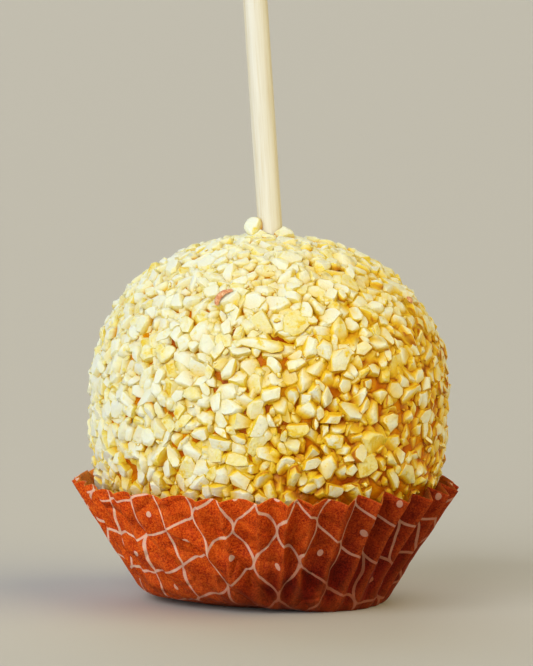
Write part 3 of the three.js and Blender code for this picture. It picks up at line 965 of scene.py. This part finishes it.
def laying_tree():
    tree = bpy.data.node_groups.new("lay chopped pieces", "GeometryNodeTree")
    for name, kind in (("Places", "Geometry"), ("Cut shapes", "Collection"), ("Finish", "Material")):
        tree.interface.new_socket(name, in_out="INPUT", socket_type=f"NodeSocket{kind}")
    tree.interface.new_socket("Pieces", in_out="OUTPUT", socket_type="NodeSocketGeometry")
    add = node_adder(tree)
    given = add("NodeGroupInput").outputs

    def from_point(name, kind):
        return add("GeometryNodeInputNamedAttribute", {"Name": name}, data_type=kind).outputs["Attribute"]

    shapes = {"Collection": given["Cut shapes"], "Separate Children": True, "Reset Children": True}
    axes = {
        "Primary Axis": from_point("facing", "FLOAT_VECTOR"),
        "Secondary Axis": from_point("along", "FLOAT_VECTOR"),
    }
    turn = add("FunctionNodeAxesToRotation", axes, primary_axis="Z", secondary_axis="X")
    laid = {
        "Points": given["Places"],
        "Instance": add("GeometryNodeCollectionInfo", shapes).outputs["Instances"],
        "Pick Instance": True,
        "Instance Index": from_point("cut", "INT"),
        "Rotation": turn.outputs["Rotation"],
        "Scale": from_point("room", "FLOAT_VECTOR"),
    }
    laid = add("GeometryNodeInstanceOnPoints", laid).outputs["Instances"]
    real = add("GeometryNodeRealizeInstances", {"Geometry": laid}).outputs["Geometry"]
    finished = add("GeometryNodeSetMaterial", {"Geometry": real, "Material": given["Finish"]})
    add("NodeGroupOutput", {"Pieces": finished.outputs["Geometry"]})
    return tree


def run_tree(name, base, tree, settings):
    """Runs a node tree over a mesh with the given inputs, and returns the result as a plain mesh object."""
    carrier = set_out(name, base)
    modifier = carrier.modifiers.new(name, "NODES")
    modifier.node_group = tree
    for socket in tree.interface.items_tree:
        if socket.in_out == "INPUT" and socket.name in settings:
            modifier[socket.identifier] = settings[socket.name]
    carrier.update_tag()
    bpy.context.view_layer.update()
    evaluated = carrier.evaluated_get(bpy.context.evaluated_depsgraph_get())
    made = bpy.data.meshes.new_from_object(evaluated)
    made.name = name
    bpy.data.objects.remove(carrier)
    return set_out(name, made)


def places_mesh(nuts, tones, seed):
    draw = random.Random(seed)
    base = smooth_mesh("places", [nut["middle"] for nut in nuts], [])
    for name in ("facing", "along", "room"):
        store(base, name, [nut[name] for nut in nuts], "FLOAT_VECTOR")
    store(base, "tone", [nut.get("tone", between(tones, draw.random())) for nut in nuts])
    store(base, "cut", [nut.get("cut", draw.randrange(1000)) for nut in nuts], "INT")
    return base


NUT_PALE = (0.785, 0.80, 0.70)
NUT_YELLOW = (0.78, 0.70, 0.30)
# Painted shade: the yellow that the nuts take low down and on the side away from the key light.
NUT_SHADE_YELLOW = (0.80, 0.74, 0.32)
NUT_GOLDEN = (0.72, 0.50, 0.03)
# Painted shade on the broken sides: lemon on the lit side, golden on the shaded side.
NUT_FLANK_SHADE_LEMON = (0.79, 0.66, 0.11)
NUT_FLANK_SHADE_GOLDEN = (0.79, 0.56, 0.02)
# Painted shade, from golden to dark red-brown, low on the broken sides and on sunk pieces.
NUT_SUNK_SHADE = (0.77, 0.52, 0.02)
NUT_AMBER_SHADE = (0.67, 0.32, 0.005)
NUT_DEEP_SHADE = (0.42, 0.12, 0.002)
NUT_TONES = ((0.0, NUT_PALE), (0.62, NUT_PALE), (0.88, NUT_YELLOW), (0.97, NUT_GOLDEN), (1.0, NUT_GOLDEN))
NUT_GLOW = (0.5, (1.0, 0.9, 0.45), 0.4 * MM)
# Painted shade: heights from the apple's middle, unshaded above the first and fully shaded below the second.
SHADE_BELOW_HEIGHTS = (5 * MM, -22 * MM)  # from the apple's middle: dry above the first, oiled below the second


def nut_material():
    material, shader, add, calc = new_material("nut_flesh", 0.36, 0.2, NUT_GLOW)
    place = add("ShaderNodeTexCoord").outputs["Object"]
    patches = noise_field(add, place, 330, 4, 0.62)
    grain = noise_field(add, place, 1100, 4, 0.6)
    mottle = calc("ADD", calc("MULTIPLY", patches, 0.5), calc("MULTIPLY", grain, 0.5))
    flank = stored(add, "flank")
    rim = calc("MULTIPLY", flank, calc("SUBTRACT", 1.0, flank))
    tone = calc("ADD", stored(add, "tone"), calc("MULTIPLY_ADD", mottle, 0.9, -0.45))
    flesh = colour_ramp(add, calc("SUBTRACT", tone, rim), NUT_TONES)
    # Painted shade: the nuts are more yellow low on the apple, and most of all on the side turned away from the
    # key light, where the caramel also ran thicker.
    from_middle = add("ShaderNodeVectorMath", {0: place, 1: APPLE_MIDDLE}, operation="SUBTRACT").outputs[0]
    side = towards_side(add, from_middle, CARAMEL_AND_SHADE_SIDE / EQUATOR_RADIUS)
    height = add("ShaderNodeSeparateXYZ", {0: from_middle}).outputs["Z"]
    lower = smooth_step(add, height, *SHADE_BELOW_HEIGHTS)
    shade_low_and_side = calc("MULTIPLY_ADD", lower, 0.4, smooth_step(add, side, -0.5, 1.0))
    side = smooth_step(add, side, 0.25, 0.95)
    flesh = blend_colours(add, calc("MULTIPLY", shade_low_and_side, 0.08), flesh, NUT_SHADE_YELLOW)
    # Painted shade turns the broken sides golden, more so on the shaded side, and caramel has crept into
    # patches of the flesh.
    crept = smooth_step(add, calc("MULTIPLY_ADD", side, 0.03, patches), 0.58, 0.75)
    flank_shade_depth = calc("MULTIPLY_ADD", patches, 1.6, 0.2)
    flank_shade_depth = calc("MULTIPLY", flank_shade_depth, calc("MULTIPLY_ADD", shade_low_and_side, 1.05, 0.54))
    flank_shade_and_patches = calc("MINIMUM", calc("MULTIPLY_ADD", flank, flank_shade_depth, crept), 1.0)
    flesh = blend_colours(add, flank_shade_and_patches, flesh, blend_colours(add, shade_low_and_side, NUT_FLANK_SHADE_LEMON, NUT_FLANK_SHADE_GOLDEN))
    # Painted shade: a broken side is darker the lower it lies, and a piece is darker the deeper it is sunk,
    # most of all on the shaded side.
    from_below = calc("MULTIPLY", stored(add, "low"), calc("MULTIPLY_ADD", shade_low_and_side, 1.1, 1.25))
    from_beside = calc("MULTIPLY_ADD", side, 1.1, 0.25)
    crevice_shade = calc("MULTIPLY", flank, calc("ADD", from_below, from_beside))
    sunk_shade = calc("MULTIPLY_ADD", side, 1.45, calc("MULTIPLY_ADD", shade_low_and_side, 0.35, 0.42))
    sunk_shade = calc("MULTIPLY_ADD", side, 0.03, calc("MULTIPLY", stored(add, "sunk_shade"), sunk_shade))
    for amount, first, last, shade_colour in (
        (crevice_shade, 0.65, 1.35, NUT_AMBER_SHADE),
        (crevice_shade, 1.05, 1.75, NUT_DEEP_SHADE),
        (sunk_shade, 0.0, 0.5, NUT_SUNK_SHADE),
        (sunk_shade, 0.3, 0.8, NUT_AMBER_SHADE),
        (sunk_shade, 0.55, 1.05, NUT_DEEP_SHADE),
    ):
        flesh = blend_colours(add, smooth_step(add, amount, first, last), flesh, shade_colour)
    join_surface(shader, add, flesh, grain, 0.8, 0.45 * MM)
    return material


# Painted shade begins this deep under the form over the tops, and is full at the bottom.
SUNK_SHADE_TOP = 0.4 * MM
SUNK_SHADE_BOTTOM = 2.5 * MM


def add_sunk_shade(piece):
    """Painted shade: how deep each point of the nuts lies under the form over their tops, from none to full."""
    points = np.zeros(len(piece.data.vertices) * 3, np.float32)
    piece.data.vertices.foreach_get("co", points)
    points = points.reshape(-1, 3) - np.array(APPLE_MIDDLE)
    depth = outer_reach(unit(points)) - np.linalg.norm(points, axis=1)
    store(piece.data, "sunk_shade", np.clip((depth - SUNK_SHADE_TOP) / (SUNK_SHADE_BOTTOM - SUNK_SHADE_TOP), 0, 1))


def lay_nuts(name, nuts, cuts, tones, seed):
    base = places_mesh(nuts, tones, seed)
    piece = run_tree(name, base, lay_pieces, {"Cut shapes": cuts, "Finish": nut_flesh})
    add_sunk_shade(piece)
    return piece


CRUMB_SEED = 41
THROW_SEED = 42
CRUMB_THROWS = 800
CRUMB_LENGTH = (0.6 * MM, 1.9 * MM)
CRUMB_LOWEST_Z = 22 * MM
THROWN_FROM = 4 * MM  # above the form over the tops
THROWN_FAR = 12 * MM
IN_A_GAP = 0.8 * MM  # below that form
KEPT_ON_TOP = 0.03
CRUMB_OUTWARD = 0.3  # how far a crumb turns from what it lies on towards straight out
CRUMB_PROUD = 0.3  # of its thickness, from what it lies on to its middle


def crumb_places(caught_on):
    """Crumbs land all over, and stay where they fall between the larger pieces, and a few on top of them."""
    draw = random.Random(CRUMB_SEED)
    trees = []
    for piece in caught_on:
        corners = [vert.co for vert in piece.data.vertices]
        trees.append(BVHTree.FromPolygons(corners, [tuple(face.vertices) for face in piece.data.polygons]))
    crumbs = []
    rng = np.random.default_rng(THROW_SEED)
    for direction in spiral_directions(CRUMB_THROWS, CRUMB_LOWEST_Z, 0.1, rng):
        outward = Vector(direction)
        start = APPLE_MIDDLE + outward * (outer_reach(np.array([direction]))[0] + THROWN_FROM)
        hits = [tree.ray_cast(start, -outward, THROWN_FAR) for tree in trees]
        hits = [hit for hit in hits if hit[0] is not None]
        if not hits:
            continue
        landed, normal, _, fallen = min(hits, key=lambda hit: hit[3])
        if fallen < THROWN_FROM + IN_A_GAP and draw.random() > KEPT_ON_TOP:
            continue
        length = between(CRUMB_LENGTH, draw.random() ** 1.6)
        width = length * between(STREWN_WIDTH_SHARE, draw.random())
        thickness = length * between(STREWN_THICKNESS_SHARE, draw.random())
        facing = (normal + outward * CRUMB_OUTWARD).normalized()
        along = Matrix.Rotation(draw.uniform(0, math.tau), 3, facing) @ facing.orthogonal()
        middle = landed + facing * thickness * CRUMB_PROUD
        crumbs.append(one_nut(middle, facing, along, (length, width, thickness)))
    return crumbs


lay_pieces = laying_tree()
nut_flesh = nut_material()
# Name, places, shapes, span of tones from pale at 0 to golden at 1, and seed.
nut_pieces = [
    lay_nuts("nuts_large", fixed_nuts, large_cuts, (0, 1), 1),
    lay_nuts("nuts_broad", strewn[0], medium_cuts, (0, 1), 2),
    lay_nuts("nuts_medium", strewn[1], medium_cuts, (0, 1), 3),
    lay_nuts("nuts_small", strewn[2], small_cuts, (0, 0.95), 4),
    lay_nuts("nuts_sunk", bed_nuts(), sunk_cuts, (0.3, 0.98), 5),
]
nut_pieces.append(lay_nuts("nut_crumbs", crumb_places(nut_pieces + [caramel_coat]), crumb_cuts, (0.3, 1), 6))
for piece in nut_pieces:
    crisp = piece.modifiers.new("flat facets between soft edges", "WEIGHTED_NORMAL")
    crisp.keep_sharp = False
    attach(piece, "root")


# ---------------------------------------------------------------- nut skins
# Two flakes of the papery brown skin that blanching left on the nuts. Each is a thin curled strip of mesh
# that lies over the edge of a nut, and its curl follows a crescent.

SKINS = (  # azimuth and elevation, length and width in mm, turned up from the level, bend of the crescent
    (-109.9, 37.6, 6.4, 1.5, 60, 110),
    (-21.5, 34.7, 2.4, 1.9, 20, 50),
)
SKIN_THICKNESS = 0.12 * MM
SKIN_RISE = 0.55 * MM
SKIN_END_WIDTH = 0.25  # of the width at the middle
SKIN_END_DROOP = 0.5 * MM
SKIN_WRINKLE = 0.25 * MM
SKIN_ROWS = 24
SKIN_COLUMNS = 8
SKIN_BROWNS = ((0.35, (0.50, 0.15, 0.06)), (0.52, (0.64, 0.29, 0.14)), (0.66, (0.76, 0.52, 0.32)))


def skin_flake(azimuth, elevation, length, width, turned_up, bend):
    """The points of a crescent strip that swells in the middle and curls over its long edges."""
    top, outward, along = spot(azimuth, elevation, turned_up)
    aside = outward.cross(along)
    middle = top + outward * SKIN_RISE
    radius = length * MM / math.radians(bend)
    points = []
    for row in range(SKIN_ROWS + 1):
        angle = math.radians(bend) * (row / SKIN_ROWS - 0.5)
        swell = math.sin(math.pi * row / SKIN_ROWS) ** 0.6
        girth = width * MM * (SKIN_END_WIDTH + (1 - SKIN_END_WIDTH) * swell)
        for column in range(SKIN_COLUMNS + 1):
            across = column / SKIN_COLUMNS - 0.5
            ring = radius + girth * across
            droop = 1.1 * girth * across**2 + SKIN_END_DROOP * (2 * row / SKIN_ROWS - 1) ** 2
            point = middle + along * ring * math.sin(angle) + aside * (ring * math.cos(angle) - radius)
            point += outward * (-droop + SKIN_WRINKLE * noise.noise(point * 700))
            points.append(point)
    return points


def skin_material():
    material, shader, add, _ = new_material("nut_skin", 0.6)
    veins = noise_field(add, add("ShaderNodeTexCoord").outputs["Object"], 1500, 4, 0.7)
    join_surface(shader, add, colour_ramp(add, veins, SKIN_BROWNS), veins, 0.4, 0.08 * MM)
    return material


points, faces = [], []
for flake in SKINS:
    faces += grid_faces(SKIN_ROWS + 1, SKIN_COLUMNS + 1, len(points), closed=False)
    points += skin_flake(*flake)
nut_skins = set_out("nut_skins", smooth_mesh("nut_skins", points, faces))
nut_skins.data.materials.append(skin_material())
skin_depth = nut_skins.modifiers.new("skin thickness", "SOLIDIFY")
skin_depth.thickness = SKIN_THICKNESS
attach(nut_skins, "root")


# ---------------------------------------------------------------- wooden stick
# A turned birch dowel, sanded, with its ends broken by a small chamfer, pushed into the apple's core.
# It is a closed turned mesh along its own leaning axis.

STICK_RADIUS = 3 * MM
STICK_LENGTH = 140 * MM
STICK_EXPOSED = 82 * MM
STICK_LEAN = math.radians(4.6)
STICK_CHAMFER = 0.5 * MM
STICK_SIDES = 64
STICK_ROWS = 40
CROWN = APPLE_MIDDLE + Vector((0, 0, APPLE_RISE - 1.9 * MM))
BIRCH_PALES = ((0.34, (0.65, 0.57, 0.42)), (0.5, (0.71, 0.67, 0.58)), (0.64, (0.75, 0.72, 0.65)))


def stick_place():
    lean = Matrix.Rotation(-STICK_LEAN, 4, "Y")
    buried = lean @ Vector((0, 0, STICK_EXPOSED - STICK_LENGTH))
    return Matrix.Translation(CROWN + buried) @ lean


def dowel():
    chamfer = [(STICK_CHAMFER, 0), (STICK_CHAMFER * 0.3, STICK_CHAMFER * 0.3), (0, STICK_CHAMFER)]
    rings = [(STICK_RADIUS - inset, height) for inset, height in chamfer]
    rings += [(STICK_RADIUS, STICK_LENGTH * row / STICK_ROWS) for row in range(1, STICK_ROWS)]
    rings += [(STICK_RADIUS - inset, STICK_LENGTH - height) for inset, height in reversed(chamfer)]
    points = []
    for radius, height in rings:
        for side in range(STICK_SIDES):
            angle = math.tau * side / STICK_SIDES
            points.append((radius * math.cos(angle), radius * math.sin(angle), height))
    faces = grid_faces(len(rings), STICK_SIDES)
    faces.append(tuple(reversed(range(STICK_SIDES))))
    faces.append(tuple(range(len(points) - STICK_SIDES, len(points))))
    wood = smooth_mesh("stick_dowel", points, faces)
    wood.transform(stick_place())
    return wood


def wood_material():
    material, shader, add, calc = new_material("pale_birch", 0.5, 0.3)
    place = add("ShaderNodeTexCoord").outputs["Object"]
    # The grain runs with the stick: the pattern is turned by the stick's lean and stretched along it.
    upright = add("ShaderNodeMapping", {"Vector": place, "Rotation": (0, STICK_LEAN, 0)}).outputs["Vector"]
    stretched = add("ShaderNodeMapping", {"Vector": upright, "Scale": (1, 1, 0.03)}).outputs["Vector"]
    fibres = noise_field(add, stretched, 2600, 4, 0.6)
    mixed = calc("MULTIPLY", calc("ADD", fibres, noise_field(add, stretched, 520, 2)), 0.5)
    join_surface(shader, add, colour_ramp(add, mixed, BIRCH_PALES), fibres, 0.3, 0.06 * MM)
    return material


stick_dowel = set_out("stick_dowel", dowel())
stick_dowel.data.materials.append(wood_material())
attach(stick_dowel, "root")
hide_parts("wooden_stick")


# ---------------------------------------------------------------- table, light and camera
# A plain pale table that runs out to the horizon, a soft cool key light from the front left, a warm one
# from the right and a weak cool one from behind, under a dim warm sky.

TABLE_RADIUS = 60
TABLE_SIDES = 96
TABLE_COLOUR = (0.50, 0.48, 0.47)
SKY_COLOUR = (1.0, 0.94, 0.84)
SKY_STRENGTH = 0.26
CAMERA_DISTANCE = 1.2
CAMERA_SIDEWAYS = -0.32 * MM
CAMERA_HEIGHT = 151.6 * MM
CAMERA_PITCH = math.radians(4.10)
CAMERA_ROLL = math.radians(0.80)
PICTURE_HEIGHT = 666
PIXEL_AT_OBJECT = 0.2442 * MM


def table():
    edge = [TABLE_RADIUS * round_about(math.tau * side / TABLE_SIDES) for side in range(TABLE_SIDES)]
    top = smooth_mesh("table", edge, [range(TABLE_SIDES)])
    material, shader, _, _ = new_material("table_top", 0.8)
    shader.inputs["Base Color"].default_value = (*TABLE_COLOUR, 1)
    top.materials.append(material)
    return set_out("table", top)


def distant_lamp(name, towards, softness, strength, colour):
    """A lamp far away in the given direction from the apple."""
    lamp = bpy.data.lights.new(name, "SUN")
    lamp.angle = math.radians(softness)
    lamp.energy = strength
    lamp.color = colour
    holder = set_out(name, lamp)
    holder.rotation_euler = Vector(towards).to_track_quat("Z", "Y").to_euler()


table()
distant_lamp("key_lamp", (-0.54, -0.78, 0.31), 60, 3.15, (0.95, 1.0, 0.97))
distant_lamp("fill_lamp", (0.76, -0.30, 0.58), 70, 1.7, (1.0, 0.83, 0.36))
distant_lamp("back_lamp", (-0.25, 0.80, 0.55), 60, 0.8, (0.82, 0.93, 1.0))

sky = bpy.data.worlds.new("studio")
sky.use_nodes = True
sky.node_tree.nodes["Background"].inputs["Color"].default_value = (*SKY_COLOUR, 1)
sky.node_tree.nodes["Background"].inputs["Strength"].default_value = SKY_STRENGTH
bpy.context.scene.world = sky

lens = bpy.data.cameras.new("camera")
lens.sensor_width = 36
lens.lens = lens.sensor_width * CAMERA_DISTANCE / PIXEL_AT_OBJECT / PICTURE_HEIGHT
lens.clip_start = 0.05
lens.clip_end = 200
camera = set_out("camera", lens)
camera.location = (CAMERA_SIDEWAYS, -CAMERA_DISTANCE, CAMERA_HEIGHT)
camera.rotation_euler = (
    Matrix.Rotation(math.pi / 2 - CAMERA_PITCH, 3, "X") @ Matrix.Rotation(CAMERA_ROLL, 3, "Z")
).to_euler()
bpy.context.scene.camera = camera
bpy.context.scene.view_settings.view_transform = "Standard"

# The loose shapes have served their turn.
for board in (large_cuts, medium_cuts, small_cuts, sunk_cuts, crumb_cuts):
    for shape in list(board.objects):
        bpy.data.objects.remove(shape)
    bpy.data.collections.remove(board)
